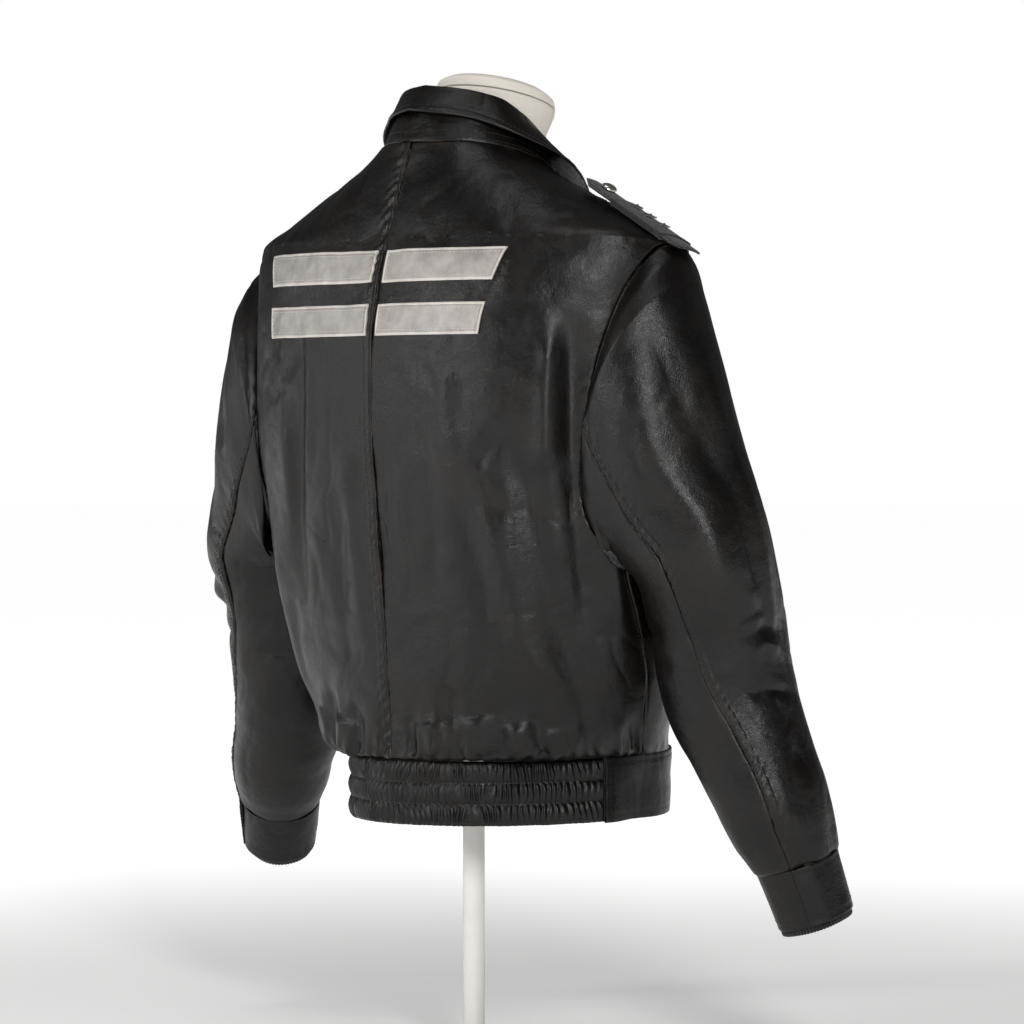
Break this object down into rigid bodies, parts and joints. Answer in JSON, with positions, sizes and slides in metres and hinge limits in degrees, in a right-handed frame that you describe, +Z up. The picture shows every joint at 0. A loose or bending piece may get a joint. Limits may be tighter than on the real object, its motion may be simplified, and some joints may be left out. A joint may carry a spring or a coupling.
{
  "type": "zipped leather jacket on a limbless dress form",
  "caption": "Hip-length zipped leather jacket with turn-down collar, shoulder straps and gathered waistband, worn by a limbless dress form on a round stand.",
  "frame": {"origin": "centre of the underside of the stand's round base", "axes": "+Z up, the wearer faces -Y, the wearer's left is +X"},
  "size_m": [0.8291, 0.3405, 0.9829],
  "materials": {
    "leather": "semi-gloss",
    "rib_knit": "matte rib knit",
    "strap_cloth": "matte",
    "reflective": "satin reflective",
    "silver": "polished",
    "zip_metal": "satin",
    "zip_cloth": "matte woven",
    "linen": "matte plain weave",
    "painted_steel": "satin"
  },
  "bodies": {
    "jacket_on_form": {"back_left": "leather", "back_right": "leather", "back_shape_left_1": "reflective", "back_shape_left_2": "reflective", "back_shape_right_1": "reflective", "back_shape_right_2": "reflective", "collar_fall": "leather", "collar_stand": "leather", "cuff_left": "leather", "cuff_right": "leather", "form_neck_cap": "linen", "form_torso": "linen", "front_left": "leather", "front_right": "leather", "knit_cuff_left": "rib_knit", "knit_cuff_right": "rib_knit", "shoulder_strap_left": "strap_cloth", "shoulder_strap_right": "strap_cloth", "stand_base": "painted_steel", "stand_flange": "painted_steel", "stand_pole": "painted_steel", "star_left_1": "silver", "star_left_2": "silver", "star_left_3": "silver", "star_right_1": "silver", "star_right_2": "silver", "star_right_3": "silver", "strap_button_left": "silver", "strap_button_right": "silver", "strap_slide_left": "strap_cloth", "strap_slide_right": "strap_cloth", "under_sleeve_left": "leather", "under_sleeve_right": "leather", "upper_sleeve_left": "leather", "upper_sleeve_right": "leather", "waistband_back": "leather", "waistband_tab_left": "leather", "waistband_tab_right": "leather", "zip_chain": "zip_metal", "zip_slider": "silver", "zip_slider_bridge": "silver", "zip_tape_left": "zip_cloth", "zip_tape_right": "zip_cloth"},
    "zip_pull": {"zip_pull": "silver"}
  },
  "joints": [
    {"name": "zip_pull_hinge", "type": "hinge", "parent": "jacket_on_form", "child": "zip_pull", "pos_m": [0, -0.08618, 0.83683], "axis": [-1, 0, 0], "range_deg": [0, 150]}
  ]
}
